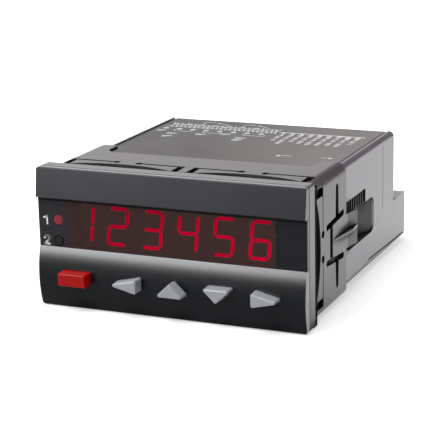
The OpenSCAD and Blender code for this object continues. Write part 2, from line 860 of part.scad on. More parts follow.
// Key with a tapered cap, a rim behind the key panel and a stem to its switch
module key(k) {
    corners = key_corners(k);
    half_w = (k == 0 ? red_key_w : arrow_key_w) / 2 + key_rim;
    half_h = (k == 0 ? red_key_h : arrow_key_h) / 2 + key_rim;
    color(k == 0 ? "red" : "silver")
        translate([key_x[k], 0, key_z])
            union() {
                loft([
                    ring_at(rounded(corners, key_corner_r), rim_front_y),
                    ring_at(rounded(corners, key_corner_r), panel_front_y),
                    for (a = [0:90 / edge_steps:90])
                        ring_at(rounded(toward(corners, key_taper), key_corner_r - key_edge_r * (1 - cos(a))),
                            key_front_y + key_edge_r * (1 - sin(a)))
                ]);
                along_y(rim_front_y, rim_rear_y)
                    patch([-half_w, -half_h], [half_w, half_h]);
                along_y(rim_rear_y - rim_t / 2, plunger_front_y)
                    circle(d = plunger_d);
            }
}

module key_switch(k) {
    color("dimgray")
        translate([key_x[k], 0, key_z])
            difference() {
                along_y(switch_front_y, board_front_y)
                    rounded_rect(switch_w, switch_w, inner_r);
                along_y(switch_front_y - over, switch_front_y + switch_bore_d)
                    circle(d = plunger_d + fit_gap);
            }
}

module switch_plunger(k) {
    color("black")
        translate([key_x[k], 0, key_z])
            along_y(plunger_front_y, plunger_rear_y)
                circle(d = plunger_d);
}

module display_board() {
    color("darkgreen")
        along_y(board_front_y, board_rear_y)
            rounded_rect(board_w, board_h, inner_r);
}

module digit_module(i) {
    color([0.1, 0.1, 0.1])
        along_y(module_front_y, board_front_y)
            translate([digit_x(i), digit_z])
                rounded_rect(module_w, module_h, module_gap);
}

// Segments a to g run between the six corner points of a digit
segment_names = "abcdefg";
lit = ["bc", "abdeg", "abcdg", "bcfg", "acdfg", "acdefg"];
function is_lit(i, s) = len(search(s, lit[i])) > 0;
function corner(side, level) = [side * (digit_w - segment_t) / 2, level * (digit_h - segment_t) / 2];
function segment_ends(s) =
    s == "a" ? [corner(-1, 1), corner(1, 1)]
    : s == "b" ? [corner(1, 1), corner(1, 0)]
    : s == "c" ? [corner(1, 0), corner(1, -1)]
    : s == "d" ? [corner(-1, -1), corner(1, -1)]
    : s == "e" ? [corner(-1, 0), corner(-1, -1)]
    : s == "f" ? [corner(-1, 1), corner(-1, 0)]
    : [corner(-1, 0), corner(1, 0)];
function slanted(p) = [p.x + p.y * tan(digit_slant), p.y];

module segment(i, s) {
    a = segment_ends(s)[0];
    b = segment_ends(s)[1];
    along = (b - a) / norm(b - a);
    across = [along.y, -along.x] * segment_t / 2;
    end = along * segment_t / 2;
    space = along * segment_gap;
    outline = [a + space, a + space + end + across, b - space - end + across,
        b - space, b - space - end - across, a + space + end - across];
    along_y(module_front_y - segment_proud, module_front_y)
        translate([digit_x(i), digit_z])
            polygon([for (p = outline) slanted(p)]);
}

module segments(show_lit) {
    for (i = [0:digit_count - 1], s = segment_names)
        if (is_lit(i, s) == show_lit)
            segment(i, s);
}

module lit_segments() {
    color("crimson")
        segments(true);
}

module dark_segments() {
    color([0.2, 0.12, 0.12])
        segments(false);
}

// Lamp with a bevelled end that stands on the display board and ends in the window
module status_led(i) {
    color("firebrick")
        translate([lamp_x, board_front_y, lamp_z - i * lamp_pitch])
            rotate([90, 0, 0])
                rotate_extrude()
                    polygon([[0, 0], [lamp_d / 2, 0], [lamp_d / 2, lamp_l - lamp_dome],
                        [lamp_d / 2 - lamp_dome, lamp_l], [0, lamp_l]]);
}

// Sliding clamp frame with spring bows and latch tongues, one moulding
module clamp_frame() {
    color("gray")
        union() {
            difference() {
                along_y(frame_tip, frame_rear_y)
                    difference() {
                        tube_section(frame_out_w, frame_out_h, frame_corner_r, frame_base_r);
                        housing_section(frame_gap);
                    }
                both_sides()
                    along_x(frame_in_w / 2 - over, frame_out_w / 2 + over) {
                        rotate(90)
                            bow_cuts(side_bow, side_tip_gap, side_slit_w);
                        tongue_slots();
                    }
                top_and_bottom()
                    along_z(frame_in_h / 2 - over, frame_out_h / 2 + over) {
                        for (x = [-top_bow_x, top_bow_x])
                            translate([x, 0])
                                mirror([0, 1])
                                    bow_cuts(top_bow, top_tip_gap, top_slit_w);
                        rounded_patch([-notch_half_w, frame_tip + notch_set],
                            [notch_half_w, frame_rear_y + 2 * notch_r], notch_r);
                    }
            }
            both_sides()
                latch();
        }
}

// Cuts round one spring bow. Its length lies along X here, and the rear is at -Y.
module bow_cuts(half_l, tip_gap, slit_w) {
    root_y = frame_tip + bow_sag;
    arc_r = (half_l * half_l + bow_sag * bow_sag) / (2 * bow_sag);
    translate([0, arc_r - root_y])
        circle(arc_r, $fn = 180);
    for (s = [-1, 1])
        scale([s, 1]) {
            patch([half_l, -slit_y - slit_w], [half_l + tip_gap, -frame_tip + over]);
            patch([bow_root, -slit_y - slit_w], [half_l + tip_gap / 2, -slit_y]);
            translate([bow_root, -slit_y - slit_w / 2])
                circle(slit_end_r);
        }
}

// Slots that free the latch tongue, as an outline in Y and Z
module tongue_slots() {
    front = frame_tip + tongue_set;
    rear = front - tongue_slot + tongue_l;
    relief = frame_tip + relief_set;
    high = tongue_half_h + tongue_gap;
    end_r = tongue_gap / 2;
    translate([0, tongue_z])
        patch([front, -high], [front + tongue_slot, high]);
    for (s = [-1, 1]) {
        slot_z = s * tongue_z + tongue_half_h;
        translate([0, tongue_z])
            scale([1, s]) {
                polygon([[front - tongue_slot, tongue_half_h], [rear, tongue_half_h + tongue_flare],
                    [rear, high + tongue_flare], [front - tongue_slot, high]]);
                translate([front - tongue_slot, tongue_half_h + end_r])
                    circle(end_r);
                translate([rear, tongue_half_h + tongue_flare + end_r])
                    circle(end_r);
            }
        scale([1, s]) {
            polygon([[relief - relief_w / 2, slot_z + tongue_flare / 2],
                [relief + relief_w / 2, slot_z + tongue_flare],
                [relief + relief_end_w / 2, relief_top], [relief - relief_end_w / 2, relief_top]]);
            translate([relief, relief_top])
                circle(relief_end_w / 2);
        }
    }
}

// Release tail, fin and ratchet nib on the right-hand tongue
module latch() {
    inner = frame_in_w / 2;
    outer = frame_out_w / 2;
    flare_y = frame_rear_y + tail_flat;
    tail_rear = frame_rear_y + tail_l;
    free_y = frame_tip + tongue_set + tongue_slot;
    root = outer - frame_wall / 2;
    along_z(tongue_z - tail_down, tongue_z + tail_up)
        polygon([[inner, frame_rear_y - over], [outer, frame_rear_y - over], [outer, flare_y],
            [outer + tail_flare, tail_rear], [inner + tail_flare, tail_rear], [inner, flare_y]]);
    along_z(tongue_z - fin_t / 2, tongue_z + fin_t / 2)
        polygon([[root, free_y], [outer, free_y], [outer + fin_out, flare_y], [outer + tail_flare, tail_rear],
            [root + tail_flare, tail_rear], [root, flare_y]]);
    along_z(rack_low + fit_gap, tongue_z + tongue_half_h - fit_gap)
        polygon([[root, free_y + nib_step], [inner - nib_in, free_y + nib_l], [root, free_y + nib_l]]);
}

module main_board() {
    color("darkgreen")
        along_z(main_board_z - board_t, main_board_z)
            patch([-board_w / 2, main_front_y], [board_w / 2, main_rear_y]);
}

module board_link() {
    color("black")
        box([-link_w / 2, board_rear_y, main_board_z],
            [link_w / 2, main_front_y + link_d, main_board_z + link_h]);
}

module processor() {
    color("black")
        along_z(main_board_z, main_board_z + processor_t)
            translate([processor_x, processor_y])
                square(processor_w, center = true);
}

module relay(i) {
    color("orange")
        along_z(main_board_z, main_board_z + relay_h)
            translate([relay_x[i], relay_y + relay_l / 2])
                rounded_rect(relay_w, relay_l, inner_r);
}

// Bobbin with a closed core round it
module transformer() {
    low = main_board_z;
    color("goldenrod")
        union() {
            box([transformer_x - transformer_w / 2, transformer_y, low],
                [transformer_x + transformer_w / 2, transformer_y + transformer_l, low + transformer_foot]);
            box([transformer_x - transformer_w / 2, transformer_y + core_w, low],
                [transformer_x + transformer_w / 2, transformer_y + transformer_l - core_w,
                    low + transformer_h]);
            box([transformer_x - transformer_w / 2 + core_w, transformer_y, low],
                [transformer_x + transformer_w / 2 - core_w, transformer_y + transformer_l,
                    low + transformer_h - core_w / 2]);
        }
}

// Can with a crimped groove near its foot
module smoothing_capacitor() {
    r = capacitor_d / 2;
    color("navy")
        translate([capacitor_x, capacitor_y, main_board_z])
            rotate_extrude()
                polygon([[0, 0], [r, 0], [r, 2 * crimp], [r - crimp, 3 * crimp], [r, 4 * crimp],
                    [r, capacitor_h - crimp], [r - crimp, capacitor_h], [0, capacitor_h]]);
}

// Open pin header on the main board
module header(ways, pitch, x) {
    w = ways * pitch + 2 * header_wall;
    color("darkgreen")
        translate([x, 0, 0])
            union() {
                difference() {
                    along_y(header_front_y, main_rear_y)
                        translate([0, header_z])
                            square([w, header_h], center = true);
                    along_y(pin_front_y, main_rear_y + over)
                        translate([0, header_z])
                            square([w - 2 * header_wall, header_h - 2 * header_wall], center = true);
                }
                for (i = [0:ways - 1])
                    along_y(header_front_y + header_wall / 2, pin_rear_y)
                        translate([way_x(i, ways, pitch), header_z])
                            square(pin_w, center = true);
            }
}

// Terminal plug: a tongue with pin sockets, and a body with wire entries and screw holes
module plug(ways, pitch, x) {
    socket_w = pin_w + 2 * fit_gap;
    color("green")
        translate([x, 0, 0])
            difference() {
                union() {
                    along_y(plug_front_y, plug_rear_y)
                        translate([0, plug_z])
                            square([plug_width(ways, pitch), plug_h], center = true);
                    along_y(pin_front_y + plug_gap, plug_front_y + over)
                        translate([0, header_z])
                            square([ways * pitch - 2 * plug_gap, header_h - 2 * header_wall - 2 * plug_gap],
                                center = true);
                }
                for (i = [0:ways - 1])
                    translate([way_x(i, ways, pitch), 0, 0]) {
                        along_y(pin_front_y, pin_rear_y + plug_gap)
                            translate([0, header_z])
                                square(socket_w, center = true);
                        along_y(plug_rear_y - entry_d, plug_rear_y + over)
                            translate([0, entry_z])
                                square([pitch * entry_share, entry_h], center = true);
                        along_y(plug_rear_y - screw_sink - screw_l, plug_rear_y + over)
                            translate([0, screw_z])
                                circle(d = pitch * screw_share + 2 * screw_gap);
                    }
            }
}

// Slotted clamping screws of a plug
module plug_screws(ways, pitch, x) {
    d = pitch * screw_share;
    head_y = plug_rear_y - screw_sink;
    color("silver")
        for (i = [0:ways - 1])
            translate([x + way_x(i, ways, pitch), 0, screw_z])
                difference() {
                    along_y(head_y - screw_l, head_y)
                        circle(d = d);
                    along_y(head_y - d * driver_depth_share, head_y + over)
                        square([d + over, d * driver_width_share], center = true);
                }
}

housing();
rear_cover();
top_label();
front_bezel();
panel_gasket();
fascia();
display_window();
clamp_frame();
for (k = [0:key_count - 1]) key(k);
display_board();
for (i = [0:digit_count - 1]) digit_module(i);
lit_segments();
dark_segments();
for (i = [0, 1]) status_led(i);
for (k = [0:key_count - 1]) key_switch(k);
for (k = [0:key_count - 1]) switch_plunger(k);
main_board();
board_link();
processor();
for (i = [0, 1]) relay(i);
transformer();
smoothing_capacitor();
header(supply_ways, supply_pitch, supply_x);  // supply_header
header(signal_ways, signal_pitch, signal_x);  // signal_header
plug(supply_ways, supply_pitch, supply_x);  // supply_plug
plug(signal_ways, signal_pitch, signal_x);  // signal_plug
plug_screws(supply_ways, supply_pitch, supply_x);  // supply_plug_screws
plug_screws(signal_ways, signal_pitch, signal_x);  // signal_plug_screws
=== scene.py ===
"""Looks of a panel-mounted pulse counter: its finishes, lit display, printed plans and a plain studio."""

import json
import math

import bmesh
import bpy
from mathutils import Matrix, Vector


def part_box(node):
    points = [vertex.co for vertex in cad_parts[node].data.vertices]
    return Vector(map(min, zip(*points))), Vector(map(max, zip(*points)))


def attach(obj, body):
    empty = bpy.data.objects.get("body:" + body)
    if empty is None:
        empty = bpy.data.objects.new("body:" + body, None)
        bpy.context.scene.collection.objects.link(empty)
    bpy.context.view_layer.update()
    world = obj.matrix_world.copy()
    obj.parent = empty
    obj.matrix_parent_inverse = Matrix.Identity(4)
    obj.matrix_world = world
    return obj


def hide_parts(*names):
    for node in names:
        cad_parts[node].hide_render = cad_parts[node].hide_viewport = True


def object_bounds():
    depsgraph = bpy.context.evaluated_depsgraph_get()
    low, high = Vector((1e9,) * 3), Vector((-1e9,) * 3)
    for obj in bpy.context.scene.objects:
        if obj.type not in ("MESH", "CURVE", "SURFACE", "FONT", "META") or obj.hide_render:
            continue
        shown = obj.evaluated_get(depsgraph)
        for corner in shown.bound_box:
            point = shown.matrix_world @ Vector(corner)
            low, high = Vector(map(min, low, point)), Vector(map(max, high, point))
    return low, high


MM = 0.001
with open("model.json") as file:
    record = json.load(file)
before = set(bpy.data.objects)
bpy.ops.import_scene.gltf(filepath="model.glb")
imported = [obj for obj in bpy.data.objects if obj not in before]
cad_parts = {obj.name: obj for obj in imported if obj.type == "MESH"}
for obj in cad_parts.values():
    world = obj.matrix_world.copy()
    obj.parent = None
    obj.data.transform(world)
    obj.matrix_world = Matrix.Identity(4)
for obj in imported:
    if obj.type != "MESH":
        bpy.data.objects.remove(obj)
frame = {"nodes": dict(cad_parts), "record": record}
nodes = frame["nodes"]
cad_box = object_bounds()

# Directions on the part
RIGHTWARD = (1, 0, 0)
UPWARD = (0, 0, 1)
DOWNWARD = (0, 0, -1)

# Places on the part, in millimetres
WINDOW_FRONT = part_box("display_window")[0][1] / MM
WINDOW_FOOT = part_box("display_window")[0][2] / MM
WINDOW_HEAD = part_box("display_window")[1][2] / MM
DIGITS_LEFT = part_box("digit_module_1")[0][0] / MM
DIGITS_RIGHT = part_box("digit_module_6")[1][0] / MM
LABEL_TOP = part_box("top_label")[1][2] / MM
RAIL_FOOT = LABEL_TOP - 2.2
HOUSING_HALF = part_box("housing")[1][0] / MM

# Stroke of a segment's solid and of its lit face in millimetres, and the digits' slant in degrees
SOLID_STROKE, LIT_STROKE = 1.5, 1.25
DIGIT_SLANT = 6

# Half the thickness of print, and how much its numbers are fattened, in millimetres
PRINT_T = 0.03
NUMBER_WEIGHT = 0.16

# Grain of a plain moulding: its mottle, noise scale and spread of roughness, and its depth in metres
MOULD_MOTTLE = 0.05
MOULD_SCALE = 3500.0
MOULD_SPREAD = 0.1
MOULD_DEPTH = 0.00002


# Shader nodes

def feed(tree, value, socket):
    """Sets a socket to a number or a colour, or links it to another node's output."""
    if isinstance(value, (int, float, tuple)):
        socket.default_value = value
    else:
        tree.links.new(value, socket)


def math_node(tree, operation, *values):
    made = tree.nodes.new("ShaderNodeMath")
    made.operation = operation
    for value, socket in zip(values, made.inputs):
        feed(tree, value, socket)
    return made.outputs[0]


def noise_node(tree, vector, scale, detail):
    made = tree.nodes.new("ShaderNodeTexNoise")
    feed(tree, vector, made.inputs["Vector"])
    feed(tree, scale, made.inputs["Scale"])
    feed(tree, detail, made.inputs["Detail"])
    return made.outputs["Fac"]


def mix_colour(tree, factor, a, b, blend="MIX"):
    made = tree.nodes.new("ShaderNodeMix")
    made.data_type = "RGBA"
    made.blend_type = blend
    for value, socket in ((factor, "Factor"), (a, "A"), (b, "B")):
        feed(tree, value, made.inputs[socket])
    return made.outputs["Result"]


def darkened(tree, colour, shade):
    """A colour times a shade, where a shade of one leaves it as it is."""
    return mix_colour(tree, 1.0, colour, shade, "MULTIPLY")


def map_range(tree, value, span, to=(0.0, 1.0), smooth=False):
    """Carries a value from one span to another, and stops at its ends."""
    made = tree.nodes.new("ShaderNodeMapRange")
    made.interpolation_type = "SMOOTHSTEP" if smooth else "LINEAR"
    feed(tree, value, made.inputs["Value"])
    for ends, low, high in ((span, "From Min", "From Max"), (to, "To Min", "To Max")):
        feed(tree, ends[0], made.inputs[low])
        feed(tree, ends[1], made.inputs[high])
    return made.outputs["Result"]


def place_on_part(tree):
    """The place of a point in the part's own frame, in metres."""
    return tree.nodes.new("ShaderNodeTexCoord").outputs["Object"]


def facing_on_part(tree):
    """The direction that a point's face looks, in the part's own frame."""
    return tree.nodes.new("ShaderNodeTexCoord").outputs["Normal"]


def split_axes(tree, vector):
    made = tree.nodes.new("ShaderNodeSeparateXYZ")
    feed(tree, vector, made.inputs[0])
    return made.outputs


# Shader groups

def new_group(name, inputs, outputs):
    """A shader node group with named sockets, and its two end nodes."""
    group = bpy.data.node_groups.new(name, "ShaderNodeTree")
    for socket, kind, value in inputs:
        made = group.interface.new_socket(socket, in_out="INPUT", socket_type=kind)
        made.default_value = value
    for socket, kind in outputs:
        group.interface.new_socket(socket, in_out="OUTPUT", socket_type=kind)
    start = group.nodes.new("NodeGroupInput")
    end = group.nodes.new("NodeGroupOutput")
    return group, start, end


def moulded_grain():
    """Fine spark-eroded grain with a faint mottle, for every piece."""
    group, start, end = new_group(
        "Moulded Grain",
        [("Colour", "NodeSocketColor", (0.5, 0.5, 0.5, 1)), ("Mottle", "NodeSocketFloat", MOULD_MOTTLE),
         ("Grain Scale", "NodeSocketFloat", MOULD_SCALE), ("Roughness", "NodeSocketFloat", 0.5),
         ("Roughness Spread", "NodeSocketFloat", MOULD_SPREAD)],
        [("Colour", "NodeSocketColor"), ("Roughness", "NodeSocketFloat"), ("Height", "NodeSocketFloat")])
    noise_span, noise_middle = (0.3, 0.7), 0.5
    place = place_on_part(group)
    grain = noise_node(group, place, start.outputs["Grain Scale"], detail=2.0)
    broad = noise_node(group, place, scale=45.0, detail=3.0)
    darkest = math_node(group, "SUBTRACT", 1.0, start.outputs["Mottle"])
    palest = math_node(group, "ADD", 1.0, start.outputs["Mottle"])
    shade = map_range(group, broad, noise_span, (darkest, palest))
    drift = math_node(group, "SUBTRACT", broad, noise_middle)
    spread, rough = start.outputs["Roughness Spread"], start.outputs["Roughness"]
    feed(group, darkened(group, start.outputs["Colour"], shade), end.inputs["Colour"])
    feed(group, math_node(group, "MULTIPLY_ADD", drift, spread, rough), end.inputs["Roughness"])
    feed(group, grain, end.inputs["Height"])
    return group


def zone_mask():
    """Rises from nought to one along a direction on the part, around a place in metres."""
    group, start, end = new_group(
        "Zone Mask",
        [("Axis", "NodeSocketVector", UPWARD), ("Place", "NodeSocketFloat", 0.0),
         ("Soft Width", "NodeSocketFloat", 0.0002)],
        [("Mask", "NodeSocketFloat")])
    along = group.nodes.new("ShaderNodeVectorMath")
    along.operation = "DOT_PRODUCT"
    feed(group, place_on_part(group), along.inputs[0])
    feed(group, start.outputs["Axis"], along.inputs[1])
    half = math_node(group, "MULTIPLY", start.outputs["Soft Width"], 0.5)
    low = math_node(group, "SUBTRACT", start.outputs["Place"], half)
    high = math_node(group, "ADD", start.outputs["Place"], half)
    feed(group, map_range(group, along.outputs["Value"], (low, high), smooth=True), end.inputs["Mask"])
    return group


def recess_shade():
    """Darkens the inside of slits and pockets, where little light gets in, and takes the sheen off there."""
    group, start, end = new_group(
        "Recess Shade",
        [("Colour", "NodeSocketColor", (0.5, 0.5, 0.5, 1)), ("Reach", "NodeSocketFloat", 0.006),
         ("Darkest", "NodeSocketFloat", 0.15), ("Sheen", "NodeSocketFloat", 1.0)],
        [("Colour", "NodeSocketColor"), ("Sheen", "NodeSocketFloat")])
    shade_span, sheen_span = (0.6, 1.0), (0.90, 1.0)
    open_sky = group.nodes.new("ShaderNodeAmbientOcclusion")
    open_sky.samples = 8
    feed(group, start.outputs["Reach"], open_sky.inputs["Distance"])
    openness = open_sky.outputs["AO"]
    shade = map_range(group, openness, shade_span, (start.outputs["Darkest"], 1.0))
    sheen = map_range(group, openness, sheen_span, (0.0, start.outputs["Sheen"]))
    feed(group, darkened(group, start.outputs["Colour"], shade), end.inputs["Colour"])
    feed(group, sheen, end.inputs["Sheen"])
    return group


GRAIN = moulded_grain()
ZONE = zone_mask()
RECESS = recess_shade()


# Finishes

def new_material(name):
    made = bpy.data.materials.new(name)
    made.use_nodes = True
    tree = made.node_tree
    return made, tree, tree.nodes["Principled BSDF"]


def group_in(tree, group, values):
    """Places a shader group in a material with its own values, and returns its outputs."""
    made = tree.nodes.new("ShaderNodeGroup")
    made.node_tree = group
    for socket, value in values.items():
        feed(tree, value, made.inputs[socket])
    return made.outputs


def grain_in(tree, shader, colour, roughness,
             mottle=MOULD_MOTTLE, scale=MOULD_SCALE, spread=MOULD_SPREAD, depth=MOULD_DEPTH):
    """Adds the moulded grain to a finish and returns the grained colour."""
    bump_strength = 0.5
    grain = group_in(tree, GRAIN, {"Colour": colour, "Mottle": mottle, "Grain Scale": scale,
                                   "Roughness": roughness, "Roughness Spread": spread})
    feed(tree, grain["Colour"], shader.inputs["Base Color"])
    feed(tree, grain["Roughness"], shader.inputs["Roughness"])
    if depth:
        bump = tree.nodes.new("ShaderNodeBump")
        bump.inputs["Strength"].default_value = bump_strength
        bump.inputs["Distance"].default_value = depth
        feed(tree, grain["Height"], bump.inputs["Height"])
        feed(tree, bump.outputs["Normal"], shader.inputs["Normal"])
    return grain["Colour"]


def zone_in(tree, axis, place, soft):
    """A mask that rises at a place along a direction, over a soft width, both in millimetres."""
    return group_in(tree, ZONE, {"Axis": axis, "Place": place * MM, "Soft Width": soft * MM})["Mask"]


def moulding(name, colour, roughness, mottle=MOULD_MOTTLE, scale=MOULD_SCALE, specular=0.5):
    """A moulded plastic with its grain."""
    made, tree, shader = new_material(name)
    grain_in(tree, shader, (*colour, 1), roughness, mottle, scale)
    shader.inputs["Specular IOR Level"].default_value = specular
    return made


def slotted_moulding(name, colour, sheen, reach, rail_reach=None, half_width=None):
    """A moulded plastic with slits, polished on its open faces.

    The reach of its recess shade, in millimetres, may differ on the top rails. Where half_width is given,
    the pockets in its two sides are darker with painted shade.
    """
    pocket_shade, pocket_sheen = 0.4, 0.3
    made, tree, shader = new_material(name)
    skin = grain_in(tree, shader, (*colour, 1), roughness=0.5)
    polish = sheen
    rails = zone_in(tree, UPWARD, RAIL_FOOT, soft=0.5)
    # Painted shade: the side pockets' colour is darkened and their sheen lowered.
    if half_width:
        pocket = side_pocket(tree, half_width, rails)
        skin = darkened(tree, skin, map_range(tree, pocket, (0.0, 1.0), (1.0, pocket_shade)))
        polish = map_range(tree, pocket, (0.0, 1.0), (sheen, pocket_sheen * sheen))
    depth = map_range(tree, rails, (0.0, 1.0), (reach * MM, (rail_reach or reach) * MM))
    shaded = group_in(tree, RECESS, {"Colour": skin, "Sheen": polish, "Reach": depth})
    feed(tree, shaded["Colour"], shader.inputs["Base Color"])
    feed(tree, shaded["Sheen"], shader.inputs["Coat Weight"])
    shader.inputs["Coat Roughness"].default_value = 0.3
    shader.inputs["Specular IOR Level"].default_value = 0.15
    return made


def side_pocket(tree, half_width, rails):
    """A mask of the sideways faces that lie below a moulding's two sides, such as a scoop's floor, where
    shade is painted.
    """
    sunk_span = (half_width - 0.5) * MM, (half_width - 0.2) * MM
    sideways_span = 0.4, 0.6
    across = math_node(tree, "ABSOLUTE", split_axes(tree, place_on_part(tree))["X"])
    facing = math_node(tree, "ABSOLUTE", split_axes(tree, facing_on_part(tree))["X"])
    sunk = map_range(tree, across, sunk_span, (1.0, 0.0))
    sideways = map_range(tree, facing, sideways_span)
    below = math_node(tree, "SUBTRACT", 1.0, rails)
    return math_node(tree, "MULTIPLY", math_node(tree, "MULTIPLY", sunk, sideways), below)


def fascia_finish():
    """Grey moulding with a dark front: a black key panel, and an anthracite brow with painted shade that
    makes it darker at the right.
    """
    panel_black = (0.0030, 0.0042, 0.0062, 1)
    # The brow's darkening towards the right is painted shade, not the moulding's own colour.
    brow_left, brow_right_shaded = (0.029, 0.0305, 0.036, 1), (0.012, 0.0135, 0.019, 1)
    panel_edge, brow_edge = (0.36, 0.35, 0.37, 1), (0.20, 0.195, 0.205, 1)
    brow_foot = WINDOW_HEAD - 0.1
    brow_turn, brow_fade = 5.0, 80.0
    side_span = -0.75, -0.55
    made, tree, shader = new_material("fascia_black")
    side = map_range(tree, split_axes(tree, facing_on_part(tree))["Y"], side_span, smooth=True)
    brow = zone_in(tree, UPWARD, brow_foot, soft=0.2)
    # Painted shade: this mask darkens the brow towards the right.
    darker = zone_in(tree, RIGHTWARD, brow_turn, brow_fade)
    anthracite = mix_colour(tree, darker, brow_left, brow_right_shaded)
    front = mix_colour(tree, brow, panel_black, anthracite)
    edges = mix_colour(tree, brow, panel_edge, brow_edge)
    body = mix_colour(tree, side, front, edges)
    grain_in(tree, shader, body, roughness=0.26, scale=3000.0, spread=0.05, depth=0.000005)
    shader.inputs["Specular IOR Level"].default_value = 0.16
    return made


def window_finish():
    """Smoked filter: near black over the lamps and at its right end, clear over the digits' brown, and black
    along its top as a painted shadow of the brow.
    """
    lamp_smoke, digit_brown = (0.030, 0.030, 0.036, 1), (0.046, 0.023, 0.022, 1)
    end_smoke, brow_shadow_black = (0.016, 0.017, 0.021, 1), (0.004, 0.004, 0.004, 1)
    brown_start, clear_start = DIGITS_LEFT + 0.55, DIGITS_LEFT + 5.85
    clear_end = DIGITS_RIGHT - 0.65
    brow_shadow_h, sill_h = 1.0, 0.9
    clear_alpha = 0.12
    made, tree, shader = new_material("smoked_window")
    brown = zone_in(tree, RIGHTWARD, brown_start, soft=8.5)
    clear = zone_in(tree, RIGHTWARD, clear_start, soft=1.6)
    stop = zone_in(tree, RIGHTWARD, clear_end, soft=0.3)
    # Painted shadow: the window's top strip under the brow is made black and opaque.
    brow_shadow = zone_in(tree, UPWARD, WINDOW_HEAD - brow_shadow_h, soft=0.3)
    sill = zone_in(tree, DOWNWARD, -WINDOW_FOOT - sill_h, soft=0.3)
    tint = mix_colour(tree, brown, lamp_smoke, digit_brown)
    tint = mix_colour(tree, stop, tint, end_smoke)
    tint = mix_colour(tree, brow_shadow, tint, brow_shadow_black)
    grain_in(tree, shader, tint, roughness=0.10, mottle=0.06, scale=60.0, spread=0.03, depth=0)
    for edge in (stop, brow_shadow, sill):
        clear = math_node(tree, "SUBTRACT", clear, edge)
    smoke = map_range(tree, clear, (0.0, 1.0), (1.0, clear_alpha))
    backs = tree.nodes.new("ShaderNodeNewGeometry").outputs["Backfacing"]
    fronts = math_node(tree, "SUBTRACT", 1.0, backs)
    feed(tree, math_node(tree, "MULTIPLY", smoke, fronts), shader.inputs["Alpha"])
    shader.inputs["Specular IOR Level"].default_value = 0.08
    return made


def label_finish():
    """Printed film, with painted light that makes it paler towards the right."""
    # The film's change from dark at the left to pale at the right is painted light.
    film_left_shaded, film_right_lit = (0.027, 0.020, 0.018, 1), (0.094, 0.079, 0.076, 1)
    film_turn, film_fade = 12.0, 64.0
    made, tree, shader = new_material("label_grey")
    film = mix_colour(tree, zone_in(tree, RIGHTWARD, film_turn, film_fade), film_left_shaded, film_right_lit)
    grain_in(tree, shader, film, roughness=0.38, scale=1500.0, depth=0.00001)
    shader.inputs["Specular IOR Level"].default_value = 0.38
    return made


def lit_finish(name, colour, strength, mottle):
    """Glowing epoxy, its glow a little uneven: a real glow on the lit segments and lamp, and painted light
    on the idle modules and segments.
    """
    made, tree, shader = new_material(name)
    epoxy = (*colour, 1)
    glow = grain_in(tree, shader, epoxy, roughness=0.4, mottle=mottle, scale=900.0, spread=0.05, depth=0)
    feed(tree, glow, shader.inputs["Emission Color"])
    shader.inputs["Emission Strength"].default_value = strength
    shader.inputs["Specular IOR Level"].default_value = 0.0
    return made


def metal_finish(name, colour, roughness):
    """Plated metal with a fine grain."""
    made, tree, shader = new_material(name)
    grain_in(tree, shader, (*colour, 1), roughness, mottle=0.06, scale=5000.0, spread=0.15, depth=0.00001)
    shader.inputs["Metallic"].default_value = 1.0
    return made


# The digit modules and their idle segments give the brown that shows through the window's clear stretch, by
# a painted glow, since they are not lit
IDLE_BROWN, IDLE_PAINTED_GLOW, IDLE_MOTTLE = (0.0040, 0.0022, 0.0021), 11.0, 0.03
FINISHES = {
    "housing_grey": slotted_moulding("housing_grey", (0.114, 0.099, 0.117), sheen=1.0, reach=5.0,
                                     rail_reach=0.6, half_width=HOUSING_HALF),
    "bezel_grey": slotted_moulding("bezel_grey", (0.108, 0.098, 0.109), sheen=0.80, reach=4.0),
    "frame_grey": slotted_moulding("frame_grey", (0.064, 0.053, 0.060), sheen=0.72, reach=3.0),
    "label_grey": label_finish(),
    "seal_rubber": moulding("seal_rubber", (0.006, 0.006, 0.006), 0.85, mottle=0.15, specular=0.1),
    "fascia_black": fascia_finish(),
    "smoked_window": window_finish(),
    "red_key_plastic": moulding("red_key_plastic", (0.42, 0.004, 0.003), 0.30, specular=0.1),
    "grey_key_plastic": moulding("grey_key_plastic", (0.350, 0.362, 0.382), 0.32),
    "board_green": moulding("board_green", (0.012, 0.07, 0.03), 0.35, mottle=0.2, scale=800.0),
    # Painted light: the idle modules and segments glow though they are not lit.
    "module_black": lit_finish("module_black", IDLE_BROWN, IDLE_PAINTED_GLOW, IDLE_MOTTLE),
    "segment_lit": lit_finish("segment_lit", (0.42, 0.0002, 0.019), strength=0.45, mottle=0.12),
    "segment_dark": lit_finish("segment_dark", IDLE_BROWN, IDLE_PAINTED_GLOW, IDLE_MOTTLE),
    "lamp_lit": lit_finish("lamp_lit", (0.165, 0.032, 0.036), strength=0.5, mottle=0.12),
    "lamp_dark": moulding("lamp_dark", (0.004, 0.004, 0.005), 0.6, specular=0.1),
    "switch_black": moulding("switch_black", (0.02, 0.02, 0.021), 0.5),
    "plunger_white": moulding("plunger_white", (0.68, 0.68, 0.67), 0.5),
    "relay_plastic": moulding("relay_plastic", (0.50, 0.18, 0.03), 0.35),
    "core_yellow": moulding("core_yellow", (0.55, 0.40, 0.06), 0.5),
    "capacitor_sleeve": moulding("capacitor_sleeve", (0.02, 0.03, 0.12), 0.3),
    "terminal_green": moulding("terminal_green", (0.02, 0.19, 0.06), 0.45),
    "screw_steel": metal_finish("screw_steel", (0.6, 0.6, 0.6), 0.35),
}


def dress_nodes():
    """Gives every solid of the part the finish of its slot."""
    for part in frame["record"]["subparts"]:
        skin = nodes[part["node"]].data.materials
        skin.clear()
        skin.append(FINISHES[part["material_slot"]])


def show(obj):
    """Puts an object in the scene."""
    bpy.context.scene.collection.objects.link(obj)
    return obj


# Display

